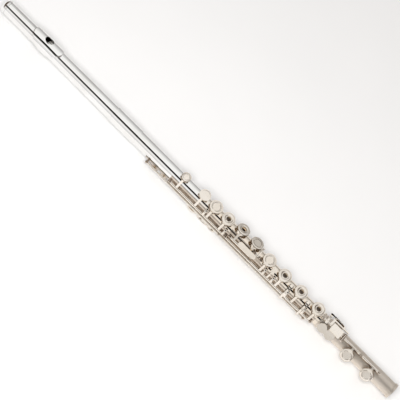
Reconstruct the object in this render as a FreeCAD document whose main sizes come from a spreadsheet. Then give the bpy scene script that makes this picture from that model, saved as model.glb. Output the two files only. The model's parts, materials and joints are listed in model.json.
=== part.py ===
"""Concert flute: head joint, body joint and C foot joint with their open-hole keywork.

The +X axis runs along the bore towards the open end of the foot joint, +Z points up through the
finger keys and -Y points at the player. The origin is on the bore's axis at that open end. A
place around the tube is an angle phi, measured from +Z towards the player, and a distance rho
from the axis. Every key is drawn closed on its tone hole and is then turned about its own rod
to where its spring holds it.
"""
import FreeCAD, Part
import math
import os
import Sketcher

V = FreeCAD.Vector
X_AXIS = V(1, 0, 0)
Y_AXIS = V(0, 1, 0)
Z_AXIS = V(0, 0, 1)

# Driving dimensions in millimetres and degrees: alias, value, what it is.
DIMENSIONS = [
    ("scale_origin", -669.5, "x of the sounding scale's zero"),
    ("scale_length", 670.8, "length that the twelve equal semitones divide"),
    ("bore_radius", 9.5, "cylindrical bore of body and foot"),
    ("tube_radius", 9.9, "outside of body and foot tubes"),
    ("body_start", -458.0, "head end of the body tube, inside the barrel"),
    ("tenon_end", -114.3, "foot end of the body tube"),
    ("foot_start", -114.0, "head end of the foot tube"),
    ("barrel_start", -484.6, "mouth of the barrel"),
    ("barrel_end", -443.3, "foot end of the barrel"),
    ("barrel_radius", 10.45, "outside of the barrel sleeve"),
    ("ring_radius", 10.95, "outside of the soldered rings"),
    ("ring_width", 1.9, "length of a soldered ring"),
    ("slip_gap", 0.05, "radial clearance of a tenon in its socket"),
    ("socket_start", -125.8, "mouth of the foot socket"),
    ("socket_end", -113.0, "foot end of the foot socket"),
    ("socket_radius", 10.5, "outside of the foot socket"),
    ("end_ring_width", 3.2, "length of the ring at the open end"),
    ("head_start", -668.9, "crown end of the head tube"),
    ("head_end", -464.0, "tenon end of the head tube"),
    ("head_taper_end", -486.0, "where the head's taper meets its cylindrical tenon"),
    ("head_small_bore", 8.5, "bore radius at the crown"),
    ("tube_wall", 0.4, "thickness of the drawn tube"),
    ("embouchure_x", -602.9, "centre of the embouchure hole"),
    ("embouchure_half_length", 6.1, "half of the hole along the tube"),
    ("embouchure_half_width", 5.15, "half of the hole across the tube"),
    ("lip_half_length", 23.3, "half of the lip plate along the tube"),
    ("lip_half_width", 14.2, "half of the lip plate's oval across the tube"),
    ("lip_radius", 11.3, "outside curve of the lip plate"),
    ("lip_thickness", 0.9, "thickness of the lip plate"),
    ("lip_rise", 2.0, "height of the lip plate's centre over the bore"),
    ("lip_offset", 1.5, "how far the lip plate leans to the player"),
    ("lip_skirt", -1.0, "height of the lip plate's lower edges"),
    ("riser_wall", 1.3, "wall of the chimney under the lip plate"),
    ("crown_tip", -676.6, "far end of the crown"),
    ("crown_radius", 9.6, "rim of the crown"),
    ("crown_bore", 1.6, "radius of the crown's threaded hole"),
    ("cork_face", -620.0, "front face of the head cork"),
    ("cork_length", 17.0, "length of the head cork"),
    ("cork_radius", 8.5, "radius of the head cork"),
    ("plate_inset", 0.2, "how much smaller the stopper's plates are than its cork"),
    ("stopper_rod", 1.5, "radius of the head screw"),
    ("stopper_plate", 1.2, "thickness of the plates at each end of the cork"),
    ("hole_radius", 7.4, "large tone holes"),
    ("chimney_wall", 0.45, "wall of a drawn tone-hole chimney"),
    ("seat_height", 12.2, "rho of the rim that a large pad closes on"),
    ("small_hole_radius", 3.5, "C sharp vent and trill tone holes"),
    ("small_seat_height", 11.6, "rho of the rim of a small tone hole"),
    ("pad_gap", 0.1, "air left between a closed pad and its rim"),
    ("pad_thickness", 2.3, "thickness of a pad"),
    ("cup_radius", 9.05, "outside of a large key cup"),
    ("small_cup_radius", 6.45, "outside of the C sharp cup"),
    ("trill_cup_radius", 5.6, "outside of a trill cup"),
    ("cup_wall", 0.4, "wall of a key cup"),
    ("cup_crown", 0.75, "metal over the pad at the middle of a cup"),
    ("cup_ring", 0.35, "height of the ring on a cup"),
    ("finger_hole", 3.4, "radius of the hole in an open cup"),
    ("steel_radius", 1.0, "radius of a pivot steel"),
    ("tube_clear", 0.05, "radial running clearance of a hinge tube"),
    ("hinge_radius", 1.65, "outside of a hinge tube"),
    ("arm_width", 2.9, "width of a key arm along the tube"),
    ("arm_thickness", 1.7, "thickness of a key arm"),
    ("post_radius", 1.15, "stem of a post"),
    ("ball_radius", 2.0, "ball of a post"),
    ("rib_radius", 10.5, "outside of a rib or strap on the tube"),
    ("main_rod_phi", 88.0, "place of the main rod around the tube"),
    ("main_rod_rho", 13.5, "distance of the main rod from the bore's axis"),
    ("g_rod_phi", 63.0, "place of the offset G rod"),
    ("g_sharp_rod_phi", 30.0, "place of the G sharp rod"),
    ("g_cup_phi", -18.0, "lean of the offset G cups away from the player"),
    ("g_sharp_cup_phi", -115.0, "place of the G sharp cup"),
    ("trill_rod_phi", 110.0, "place of the trill rod"),
    ("trill_rod_rho", 14.4, "distance of the trill rod from the bore's axis"),
    ("trill_cup_phi", 175.0, "place of the trill cups"),
    ("thumb_rod_phi", 220.0, "place of the thumb rod"),
    ("thumb_cup_phi", 155.0, "place of the thumb cup"),
    ("foot_rod_phi", 15.0, "place of the foot rod"),
    ("foot_rod_rho", 13.3, "distance of the foot rod from the bore's axis"),
    ("foot_cup_phi", 69.0, "place of the low C sharp and C cups"),
    ("d_sharp_cup_phi", -58.0, "place of the foot D sharp cup"),
    ("main_open", 7.5, "opening angle of a finger key"),
    ("foot_open", 10.0, "opening angle of a foot key"),
    ("thumb_open", 7.5, "opening angle of the thumb key"),
    ("touch_thickness", 1.5, "thickness of a touch plate"),
    ("thin_touch", 1.3, "thickness of a little finger's leaf"),
    ("lever_width", 2.6, "width of a trill lever"),
    ("high_touch_rho", 17.6, "rho of a touch that lies over other keys"),
    ("trill_touch_rho", 17.4, "rho of a trill touch"),
    ("trill_touch_radius", 3.3, "radius of a trill touch"),
    ("trill_touch_phi", 22.0, "place of the trill touches around the tube"),
    ("side_touch_rho", 15.9, "rho of the side B flat touch"),
    ("side_touch_phi", 26.0, "place of the side B flat touch around the tube"),
    ("thumb_touch_rho", 15.6, "rho of the thumb's touches"),
    ("thumb_touch_phi", 143.0, "place of the thumb's touches around the tube"),
    ("thumb_touch_width", 9.0, "width of the thumb's touches"),
    ("g_sharp_touch_phi", 47.0, "place of the G sharp touch around the tube"),
    ("thumb_b_length", 17.0, "length of the thumb B touch"),
    ("thumb_flat_length", 12.0, "length of the thumb B flat touch"),
    ("side_touch_length", 5.4, "length of the side B flat touch"),
    ("side_touch_width", 9.0, "width of the side B flat touch"),
    ("g_sharp_touch_length", 28.0, "length of the G sharp touch"),
    ("g_sharp_touch_width", 6.4, "width of the G sharp touch"),
    ("low_c_sharp_touch_length", 16.0, "length of the low C sharp touch"),
    ("leaf_thickness", 1.4, "thickness of the D sharp leaf"),
    ("leaf_rho", 14.9, "rho of the D sharp leaf"),
    ("leaf_phi", 57.0, "place of the D sharp leaf around the tube"),
    ("leaf_radius", 6.4, "round end of the D sharp leaf"),
    ("lobe_radius", 6.9, "second lobe of the D sharp leaf"),
    ("touch_rho", 15.4, "rho of the middle of a finger touch"),
    ("c_touch_radius", 7.7, "radius of the first finger's plate"),
    ("roller_radius", 1.9, "radius of the low C roller"),
    ("roller_length", 11.6, "length of the low C roller"),
    ("roller_rho", 17.6, "distance of the roller from the bore's axis"),
    ("roller_phi", 24.0, "place of the roller around the tube"),
    ("roller_x", -91.2, "place of the roller along the tube"),
    ("roller_pin", 0.6, "radius of the roller's pin"),
    ("spring_radius", 0.3, "radius of a needle spring"),
    ("spring_rho", 11.7, "distance of a needle spring from the bore's axis"),
    ("spring_lean", 6.0, "angle between a spring and its rod, around the tube"),
]

document = FreeCAD.newDocument("concert_flute")
sheet = document.addObject("Spreadsheet::Sheet", "dims")
nodes = []


def fill_sheet():
    """Write each driving dimension to the sheet under its alias."""
    for row, (alias, value, meaning) in enumerate(DIMENSIONS, 1):
        sheet.set(f"A{row}", meaning)
        sheet.set(f"B{row}", str(value))
        sheet.setAlias(f"B{row}", alias)
    document.recompute()


def size(expression):
    """The number that an expression in the sheet's aliases comes to."""
    found = sheet.evalExpression(expression)
    return float(getattr(found, "Value", found))


def dim(alias):
    return size(f"dims.{alias}")


def hole_x(semitone):
    """The place along the tube of the tone hole this many semitones above the lowest note."""
    return dim("scale_origin") + dim("scale_length") * 2 ** (-semitone / 12)


def around(rho, phi, x=0.0):
    """The point at rho and phi, at a given place along the tube."""
    angle = math.radians(phi)
    return V(x, -rho * math.sin(angle), rho * math.cos(angle))


def bind(item, **expressions):
    for name, expression in expressions.items():
        item.setExpression(name, expression)
    return item


def node(item, name):
    """Mark an object as a finished sub-part with the name of its own file."""
    item.Label = name
    nodes.append(item)
    return item


# ---------------------------------------------------------------- primitives


def rod(name, radius, start, end, x=None):
    """A cylinder between two points, or between two places along X through the point start."""
    if x is not None:
        start, end = V(x[0], start.y, start.z), V(x[1], start.y, start.z)
    item = document.addObject("Part::Cylinder", name)
    bind(item, Radius=radius)
    item.Height = (end - start).Length
    item.Placement = FreeCAD.Placement(start, FreeCAD.Rotation(Z_AXIS, end - start))
    return item


def radial(name, radius, phi, x, low, high):
    """A cylinder that stands on the tube at phi, from rho low to rho high."""
    item = document.addObject("Part::Cylinder", name)
    bind(item, Radius=radius, Height=f"({high}) - ({low})")
    item.Placement = FreeCAD.Placement(around(size(low), phi, x), FreeCAD.Rotation(X_AXIS, phi))
    return item


def ball(name, radius, centre):
    item = document.addObject("Part::Sphere", name)
    bind(item, Radius=radius)
    item.Placement.Base = centre
    return item


def block(name, length, width, height, centre, phi):
    """A box with its length along X, its height standing out from the tube at phi."""
    item = document.addObject("Part::Box", name)
    bind(item, Length=length, Width=width, Height=height)
    half = V(-size(length) / 2, -size(width) / 2, -size(height) / 2)
    turn = FreeCAD.Rotation(X_AXIS, phi)
    item.Placement = FreeCAD.Placement(centre + turn.multVec(half), turn)
    return item


def bar(name, width, thickness, start, end):
    """A flat bar between two points of one cross section, its width along the tube."""
    item = document.addObject("Part::Box", name)
    bind(item, Length=width, Width=thickness)
    item.Height = (end - start).Length
    run = end - start
    turn = FreeCAD.Rotation(X_AXIS, math.degrees(math.atan2(-run.y, run.z)))
    half = V(-size(width) / 2, -size(thickness) / 2, 0)
    item.Placement = FreeCAD.Placement(start + turn.multVec(half), turn)
    return item


def join(name, pieces):
    item = document.addObject("Part::MultiFuse", name)
    item.Shapes = pieces
    return item


def cut(name, base, tool):
    item = document.addObject("Part::Cut", name)
    item.Base = base
    item.Tool = tool
    return item


def hoop(name, rho, thickness, width, x, phis):
    """A strap bent round the bore's axis between two angles, its middle radius at rho."""
    low, high = min(phis), max(phis)
    outer = document.addObject("Part::Cylinder", f"{name}_outer")
    bind(outer, Radius=f"({rho}) + ({thickness}) / 2", Height=width)
    outer.Angle = high - low
    inner = document.addObject("Part::Cylinder", f"{name}_inner")
    bind(inner, Radius=f"({rho}) - ({thickness}) / 2", Height=width)
    # A cylinder's own angle starts on its X axis, which is laid on the first end of the strap.
    stand = FreeCAD.Rotation(Z_AXIS, -Y_AXIS, X_AXIS, "ZXY")
    turn = FreeCAD.Rotation(X_AXIS, low) * stand
    for item in (outer, inner):
        item.Placement = FreeCAD.Placement(V(x - size(width) / 2, 0, 0), turn)
    return cut(name, outer, inner)


# ---------------------------------------------------------------- turned pieces


def draw_outline(sketch, outline):
    """A closed outline of straight edges, with every corner bound to its two expressions."""
    corners = [V(size(corner[0]), size(corner[1]), 0) for corner in outline]
    count = len(corners)
    for index, corner in enumerate(corners):
        sketch.addGeometry(Part.LineSegment(corner, corners[(index + 1) % count]), False)
    for index in range(count):
        following = (index + 1) % count
        sketch.addConstraint(Sketcher.Constraint("Coincident", index, 2, following, 1))
    for index, corner in enumerate(outline):
        for kind, axis, expression in (("DistanceX", -2, corner[0]), ("DistanceY", -1, corner[1])):
            value = size(expression)
            if expression == "0":
                sketch.addConstraint(Sketcher.Constraint("PointOnObject", index, 1, axis))
                continue
            where = sketch.addConstraint(Sketcher.Constraint(kind, -1, 1, index, 1, value))
            sketch.setExpression(f"Constraints[{where}]", expression)


def turned(name, outline, about="H_Axis"):
    """A body of revolution about the bore's axis, or about the vertical one with V_Axis."""
    body = document.addObject("PartDesign::Body", name)
    sketch = body.newObject("Sketcher::SketchObject", f"{name}_outline")
    plane = [part for part in body.Origin.OriginFeatures if part.Role == "XZ_Plane"][0]
    sketch.AttachmentSupport = [(plane, "")]
    sketch.MapMode = "FlatFace"
    draw_outline(sketch, outline)
    turn = body.newObject("PartDesign::Revolution", f"{name}_turn")
    turn.Profile = sketch
    turn.ReferenceAxis = (sketch, [about])
    turn.Angle = 360
    body.Tip = turn
    return body


def sleeve(name, start, end, inner, outer):
    """A plain tube on the bore's axis."""
    outline = [(start, inner), (end, inner), (end, outer), (start, outer)]
    return turned(name, outline)


# ---------------------------------------------------------------- tubes

# Semitones above low C of the holes on the top line, and of those that stand to one side.
TOP_HOLES = (4, 5, 6, 7, 10, 11)
OFFSET_HOLES = [(8, "g_cup_phi"), (9, "g_cup_phi"), (8, "g_sharp_cup_phi")]
VENT_SHIFT = -13.0
FOOT_SHIFTS = {3: 0.6, 2: -1.1, 1: -2.7}
TRILL_X = (-402.6, -387.2)
THUMB_X = -334.0


def foot_hole_x(semitone):
    """The foot's tone holes stand a little off the even scale."""
    return hole_x(semitone) + FOOT_SHIFTS[semitone]


def body_holes():
    """Each body tone hole as (x, phi, hole radius, seat height)."""
    large = ("dims.hole_radius", "dims.seat_height")
    small = ("dims.small_hole_radius", "dims.small_seat_height")
    holes = [(hole_x(step), 0.0, *large) for step in TOP_HOLES]
    holes += [(hole_x(step), dim(phi), *large) for step, phi in OFFSET_HOLES]
    holes.append((THUMB_X, dim("thumb_cup_phi"), *large))
    holes.append((hole_x(13) + VENT_SHIFT, 0.0, "dims.small_hole_radius", "dims.seat_height"))
    holes += [(x, dim("trill_cup_phi"), *small) for x in TRILL_X]
    return holes


def foot_holes():
    large = ("dims.hole_radius", "dims.seat_height")
    holes = [(foot_hole_x(3), dim("d_sharp_cup_phi"), *large)]
    holes += [(foot_hole_x(step), dim("foot_cup_phi"), *large) for step in (2, 1)]
    return holes


def drilled_tube(name, start, end, holes):
    """A drawn tube whose tone holes rise into chimneys."""
    line = (size(start), size(end))
    outside = [rod(f"{name}_outside", "dims.tube_radius", V(0, 0, 0), None, line)]
    inside = [rod(f"{name}_inside", "dims.bore_radius", V(0, 0, 0), None, line)]
    for index, (x, phi, radius, seat) in enumerate(holes):
        wall = f"{radius} + dims.chimney_wall"
        outside.append(radial(f"{name}_chimney_{index}", wall, phi, x, "0", seat))
        inside.append(radial(f"{name}_hole_{index}", radius, phi, x, "0", f"{seat} + 1"))
    return node(cut(f"{name}_cut", join(f"{name}_skin", outside), join(f"{name}_air", inside)), name)


def body_tubes():
    drilled_tube("body_tube", "dims.body_start", "dims.tenon_end", body_holes())
    seat, slip = "dims.tube_radius", "dims.tube_radius + dims.slip_gap"
    start, end, ring = "dims.barrel_start", "dims.barrel_end", "dims.ring_width"
    step, outer, rim = "dims.body_start", "dims.barrel_radius", "dims.ring_radius"
    outline = [(start, slip), (step, slip), (step, seat), (end, seat), (end, rim)]
    outline += [(f"{end} - {ring}", rim), (f"{end} - {ring}", outer)]
    outline += [(f"{start} + {ring}", outer), (f"{start} + {ring}", rim), (start, rim)]
    node(turned("barrel_body", outline), "barrel")


def foot_tubes():
    drilled_tube("foot_tube", "dims.foot_start", "0", foot_holes())
    seat, slip = "dims.tube_radius", "dims.tube_radius + dims.slip_gap"
    start, end, ring = "dims.socket_start", "dims.socket_end", "dims.ring_width"
    step, outer, rim = "dims.foot_start", "dims.socket_radius", "dims.ring_radius"
    outline = [(start, slip), (step, slip), (step, seat), (end, seat), (end, outer)]
    outline += [(f"{start} + {ring}", outer), (f"{start} + {ring}", rim), (start, rim)]
    node(turned("foot_socket_body", outline), "foot_socket")
    ring_start = "-dims.end_ring_width"
    node(sleeve("end_ring_body", ring_start, "0", seat, rim), "foot_end_ring")


# ---------------------------------------------------------------- head joint


def oval(name, half_length, half_width, low, high):
    """An upright oval prism over the embouchure."""
    item = document.addObject("Part::Ellipse", f"{name}_edge")
    bind(item, MajorRadius=half_length, MinorRadius=half_width)
    item.Placement.Base = V(dim("embouchure_x"), 0, low)
    prism = document.addObject("Part::Extrusion", name)
    prism.Base = item
    prism.Dir = Z_AXIS
    prism.LengthFwd = high - low
    prism.Solid = True
    return prism


def head_bore(wall):
    """The head tube's outline at its bore (wall 0) or its outside."""
    return f"dims.head_small_bore + {wall}", f"dims.bore_radius + {wall}"


def head_tube():
    small, large = head_bore("0")
    small_out, large_out = head_bore("dims.tube_wall")
    start, bend, end = "dims.head_start", "dims.head_taper_end", "dims.head_end"
    outline = [(start, small), (bend, large), (end, large), (end, large_out)]
    outline += [(bend, large_out), (start, small_out)]
    air = oval("head_air", *EMBOUCHURE, 0, dim("lip_radius"))
    node(cut("head_tube_cut", turned("head_skin", outline), air), "head_tube")


EMBOUCHURE = ("dims.embouchure_half_length", "dims.embouchure_half_width")


def head_solid(name):
    """The head tube filled in, to cut what sits on it."""
    small, large = head_bore("dims.tube_wall")
    outline = [("dims.head_start", "0"), ("dims.head_taper_end", "0")]
    outline += [("dims.head_taper_end", large), ("dims.head_start", small)]
    return turned(name, outline)


def lip_curve(name, radius):
    centre = V(0, -dim("lip_offset"), dim("lip_rise"))
    half = dim("lip_half_length") + 2
    middle = dim("embouchure_x")
    return rod(name, radius, centre, None, (middle - half, middle + half))


def lip_plate():
    shell = cut("lip_shell", lip_curve("lip_outside", "dims.lip_radius"),
                lip_curve("lip_inside", "dims.lip_radius - dims.lip_thickness"))
    top = dim("lip_radius") + dim("lip_rise") + 1
    plan = oval("lip_plan", "dims.lip_half_length", "dims.lip_half_width", dim("lip_skirt"), top)
    plate = document.addObject("Part::Common", "lip_trim")
    plate.Base = shell
    plate.Tool = plan
    air = join("lip_air", [oval("lip_hole", *EMBOUCHURE, 0, top + 1), head_solid("lip_head")])
    node(cut("lip_plate_cut", plate, air), "lip_plate")


def riser():
    """The chimney from the head tube's wall to the underside of the lip plate."""
    top = dim("lip_radius") + dim("lip_rise")
    grown = [f"{half} + dims.riser_wall" for half in EMBOUCHURE]
    wall = document.addObject("Part::Common", "riser_trim")
    wall.Base = oval("riser_outside", *grown, 0, top)
    wall.Tool = lip_curve("riser_under", "dims.lip_radius - dims.lip_thickness")
    air = join("riser_air", [oval("riser_hole", *EMBOUCHURE, 0, top + 1), head_solid("riser_head")])
    node(cut("riser_cut", wall, air), "riser")


def stopper():
    """The head cork between two plates on its screw, and the crown that moves it."""
    face, plate, rod_radius = "dims.cork_face", "dims.stopper_plate", "dims.stopper_rod"
    back = f"{face} - dims.cork_length"
    disc = "dims.cork_radius - dims.plate_inset"
    node(sleeve("cork_body", back, face, rod_radius, "dims.cork_radius"), "stopper_cork")
    front = f"{face} + {plate}"
    tail = "dims.crown_tip + 5.5"
    outline = [(tail, "0"), (front, "0"), (front, disc)]
    outline += [(face, disc), (face, rod_radius), (tail, rod_radius)]
    node(turned("screw_body", outline), "stopper_screw")
    node(sleeve("nut_body", f"{back} - {plate}", back, rod_radius, disc), "stopper_nut")


def crown():
    rim = "dims.head_start - 0.2"
    shaft = "dims.head_small_bore - dims.slip_gap * 2"
    outline = [(f"{rim} + 6", "0"), (f"{rim} + 6", shaft), (rim, shaft), (rim, "dims.crown_radius")]
    outline += [(f"{rim} - 2", "dims.crown_radius"), (f"{rim} - 2", "0")]
    dome = document.addObject("Part::Ellipsoid", "crown_dome")
    bind(dome, Radius1="dims.head_start - 2.2 - dims.crown_tip", Radius2="dims.crown_radius - 0.6")
    dome.Placement = FreeCAD.Placement(V(dim("head_start") - 2.2, 0, 0), FreeCAD.Rotation(Y_AXIS, 90))
    reach = (dim("crown_tip") + 3, dim("head_start") + 8)
    hole = rod("crown_hole", "dims.crown_bore", V(0, 0, 0), None, reach)
    knob = join("crown_knob", [turned("crown_rim", outline), dome])
    node(cut("crown_cut", knob, hole), "crown")


# ---------------------------------------------------------------- keys


class RodLine:
    """A line of hinge tubes: where it lies and which way its keys open."""

    def __init__(self, rho, phi):
        self.rho = dim(rho)
        self.phi = dim(phi)

    def point(self, x=0.0):
        return around(self.rho, self.phi, x)

    def tube(self, name, start, end):
        return rod(name, "dims.hinge_radius", self.point(), None, (start, end))

    def bore(self, name, start, end):
        """The hole that the steel leaves in a hinge tube."""
        reach = (start - 1, end + 1)
        return rod(name, "dims.steel_radius + dims.tube_clear", self.point(), None, reach)

    def opened(self, item, angle):
        """Turn a closed key about this rod."""
        turn = FreeCAD.Placement(V(0, 0, 0), FreeCAD.Rotation(X_AXIS, angle), self.point())
        item.Placement = turn * item.Placement
        return item


MAIN = ("main_rod_rho", "main_rod_phi")
OFFSET_G = ("main_rod_rho", "g_rod_phi")
G_SHARP = ("main_rod_rho", "g_sharp_rod_phi")
TRILL = ("trill_rod_rho", "trill_rod_phi")
THUMB = ("main_rod_rho", "thumb_rod_phi")
FOOT = ("foot_rod_rho", "foot_rod_phi")


def cup_outline(radius, seat, finger_hole):
    """Half of a cup's section: a skirt round the pad, a rolled rim, and a dished or ringed top."""
    low = f"{seat} + dims.pad_gap"
    roof = f"{low} + dims.pad_thickness"
    inner = f"{radius} - dims.cup_wall"
    edge = f"{roof} + dims.cup_crown * 0.55"
    top = f"{roof} + dims.cup_crown"
    ring = f"{top} + dims.cup_ring"
    outline = [(inner, roof), (inner, low), (radius, low), (radius, f"{edge} - dims.cup_ring")]
    outline += [(f"{radius} - dims.cup_ring", edge), (f"{radius} * 0.9", edge)]
    if finger_hole:
        outline += [(f"{radius} * 0.74", top), (f"{radius} * 0.66", top)]
        outline += [("dims.finger_hole + 1.3", edge), ("dims.finger_hole + 0.9", top)]
        return outline + [("dims.finger_hole", top), ("dims.finger_hole", roof)]
    outline += [(f"{radius} * 0.7", top), (f"{radius} * 0.66", ring), (f"{radius} * 0.6", ring)]
    return outline + [(f"{radius} * 0.56", top), ("0", top), ("0", roof)]


def cup(name, x, phi, radius, seat, finger_hole=False):
    body = turned(name, cup_outline(radius, seat, finger_hole), "V_Axis")
    body.Placement = FreeCAD.Placement(V(x, 0, 0), FreeCAD.Rotation(X_AXIS, phi))
    return body


def pad(name, x, phi, radius, seat, finger_hole=False):
    """A felt disc that fills its cup, with a hole for the grommet of an open cup."""
    low = f"{seat} + dims.pad_gap"
    high = f"{low} + dims.pad_thickness"
    edge = f"{radius} - dims.cup_wall - 0.05"
    disc = radial(f"{name}_disc", edge, phi, x, low, f"{high} - 0.03")
    if not finger_hole:
        return disc
    hole = radial(f"{name}_hole", "dims.finger_hole", phi, x, f"{low} - 1", f"{high} + 1")
    return cut(f"{name}_ring", disc, hole)


def cup_arm(name, line, x, phi, radius, seat):
    """The arm from a hinge tube up to the side of a cup."""
    side = 1 if line.phi > phi else -1
    reach = size(radius)
    level = size(seat) + dim("pad_thickness") + dim("pad_gap")
    turn = FreeCAD.Rotation(X_AXIS, phi)
    shoulder = V(x, 0, 0) + turn.multVec(V(0, -side * (reach - 0.2), level - 0.4))
    root = line.point(x)
    return bar(name, "dims.arm_width", "dims.arm_thickness", root, shoulder)


def pointed_arm(name, x, radius):
    """The flat arm on a closed top-line cup, which tapers from the player's rim past the middle."""
    reach, half = size(radius), dim("arm_width") * 0.45
    level = size("dims.seat_height + dims.pad_gap + dims.pad_thickness + dims.cup_crown")
    low = level - dim("cup_ring")
    plan = [V(x - half, -reach, low), V(x + half, -reach, low), V(x, reach * 0.25, low)]
    wire = Part.makePolygon(plan + plan[:1])
    outline = document.addObject("Part::Feature", f"{name}_outline")
    outline.Shape = wire
    arm = document.addObject("Part::Extrusion", name)
    arm.Base = outline
    arm.Dir = Z_AXIS
    bind(arm, LengthFwd="dims.cup_ring * 2")
    arm.Solid = True
    return arm


def plate(name, length, width, thickness, rho, phi, x):
    """A touch with two round ends: a flat plate along the tube, standing at rho and phi."""
    long, wide = size(length), size(width)
    low, high = f"({rho}) - ({thickness}) / 2", f"({rho}) + ({thickness}) / 2"
    ends = [x - (long - wide) / 2, x + (long - wide) / 2]
    pieces = [radial(f"{name}_end_{index}", f"({width}) / 2", phi, spot, low, high)
              for index, spot in enumerate(ends)]
    middle = around(size(rho), phi, x)
    pieces.append(block(f"{name}_middle", f"({length}) - ({width})", width, thickness, middle, phi))
    return join(name, pieces)


def pad_room(name, x, phi, radius, seat):
    """The hollow of a cup, which an arm must not reach into."""
    low = f"{seat} + dims.pad_gap"
    return radial(name, f"{radius} - dims.cup_wall", phi, x, f"{low} - 2", f"{low} + dims.pad_thickness")


def key(name, line, pieces, angle, rooms=()):
    """Fuse a key's pieces with its hinge tube, bore the tube, clear its cups and open the key."""
    tube = line.tube(f"{name}_hinge", *HINGES[name])
    solid = join(f"{name}_solid", pieces + [tube])
    hollows = [line.bore(f"{name}_bore", *HINGES[name])]
    hollows += [pad_room(f"{name}_room_{index}", *room) for index, room in enumerate(rooms)]
    whole = cut(f"{name}_bored", solid, join(f"{name}_hollows", hollows) if rooms else hollows[0])
    return node(line.opened(whole, angle), name)


def opened_pad(name, line, disc, angle):
    return node(line.opened(disc, angle), name)


# Each key's hinge tube or steel, from its head end to its foot end.
HINGES = {
    "d_sharp_trill_key": (-416.0, -140.8),
    "d_trill_key": (-392.0, -176.4),
    "c_sharp_key": (-375.0, -321.8),
    "thumb_b_key": (-340.0, -307.2),
    "b_flat_key": (-321.5, -305.8),
    "thumb_b_flat_lever": (-306.8, -292.0),
    "a_key": (-305.5, -283.8),
    "f_sharp_key": (-279.2, -214.5),
    "g_key": (-275.0, -242.8),
    "g_sharp_key": (-239.4, -234.6),
    "side_b_flat_lever": (-214.2, -204.8),
    "f_key": (-204.5, -186.8),
    "e_key": (-186.5, -159.8),
    "d_key": (-159.5, -135.8),
    "d_sharp_key": (-124.0, -115.4),
    "low_c_sharp_key": (-111.1, -62.6),
    "low_c_key": (-58.0, -31.4),
}
OPEN_CUPS = {"d_key": 4, "e_key": 5, "f_key": 6, "a_key": 10}
CLOSED_CUPS = {"f_sharp_key": 7, "b_flat_key": 11}
LARGE_CUP = ("dims.cup_radius", "dims.seat_height")


def finger_keys():
    """The keys with one large cup on the main rod, from the low D key up to the B flat key."""
    line = RodLine(*MAIN)
    angle = dim("main_open")
    for name, step in {**OPEN_CUPS, **CLOSED_CUPS}.items():
        x, finger_hole = hole_x(step), name in OPEN_CUPS
        pieces = [cup(f"{name}_cup", x, 0, *LARGE_CUP, finger_hole)]
        pieces.append(cup_arm(f"{name}_arm", line, x, 0, *LARGE_CUP))
        if not finger_hole:
            pieces.append(pointed_arm(f"{name}_point", x, "dims.cup_radius"))
        key(name, line, pieces, angle, [(x, 0, *LARGE_CUP)])
        opened_pad(f"{name}_pad", line, pad(f"{name}_felt", x, 0, *LARGE_CUP, finger_hole), angle)


def first_finger_key():
    """The first finger's plate and the small C sharp cup on one hinge tube."""
    line = RodLine(*MAIN)
    small = ("dims.small_cup_radius", "dims.seat_height")
    x, plate_x = hole_x(13) + VENT_SHIFT, hole_x(12)
    angle = dim("main_open")
    low = "dims.touch_rho - dims.touch_thickness / 2"
    disc = radial("c_plate", "dims.c_touch_radius", 0, plate_x, low, f"{low} + dims.touch_thickness")
    dish = radial("c_dish", "dims.c_touch_radius - 1.2", 0, plate_x, f"{low} + 1.1", f"{low} + 3")
    rim = around(dim("touch_rho"), 0, plate_x) - V(0, dim("c_touch_radius") - 1.5, 0)
    arm_size = ("dims.arm_width", "dims.arm_thickness")
    arm = bar("c_plate_arm", *arm_size, line.point(plate_x), rim)
    pieces = [cut("c_plate_dished", join("c_plate_whole", [disc, arm]), dish)]
    pieces += [cup("c_sharp_cup", x, 0, *small), cup_arm("c_sharp_arm", line, x, 0, *small)]
    pieces.append(pointed_arm("c_sharp_point", x, "dims.small_cup_radius"))
    key("c_sharp_key", line, pieces, angle, [(x, 0, *small)])
    opened_pad("c_sharp_key_pad", line, pad("c_sharp_felt", x, 0, *small), angle)


def offset_g_key():
    """The two G cups, which turn as one key on their own rod."""
    line = RodLine(*OFFSET_G)
    phi, angle = dim("g_cup_phi"), dim("main_open")
    pieces, rooms, discs = [], [], []
    for name, step, finger_hole in (("upper_g", 9, True), ("lower_g", 8, False)):
        x = hole_x(step)
        pieces.append(cup(f"{name}_cup", x, phi, *LARGE_CUP, finger_hole))
        pieces.append(cup_arm(f"{name}_arm", line, x, phi, *LARGE_CUP))
        rooms.append((x, phi, *LARGE_CUP))
        discs.append(pad(f"{name}_felt", x, phi, *LARGE_CUP, finger_hole))
    key("g_key", line, pieces, angle, rooms)
    opened_pad("g_key_pads", line, join("g_felts", discs), angle)


def over_cup(name, rho, phi, arm_x, bridge_x, cup_x, prop_radius):
    """A prop up from a closed key's hoop, and the bridge from it over the top of the cup."""
    level = "dims.seat_height + dims.pad_gap + dims.pad_thickness + dims.cup_crown"
    middle = around(size(level), phi, (bridge_x + cup_x) / 2)
    reach = f"{abs(bridge_x - cup_x)}"
    bridge = block(f"{name}_bridge", reach, "dims.arm_width", "dims.arm_thickness", middle, phi)
    return [bridge, radial(f"{name}_prop", prop_radius, phi, arm_x, f"{rho} - 0.5", level)]


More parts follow.
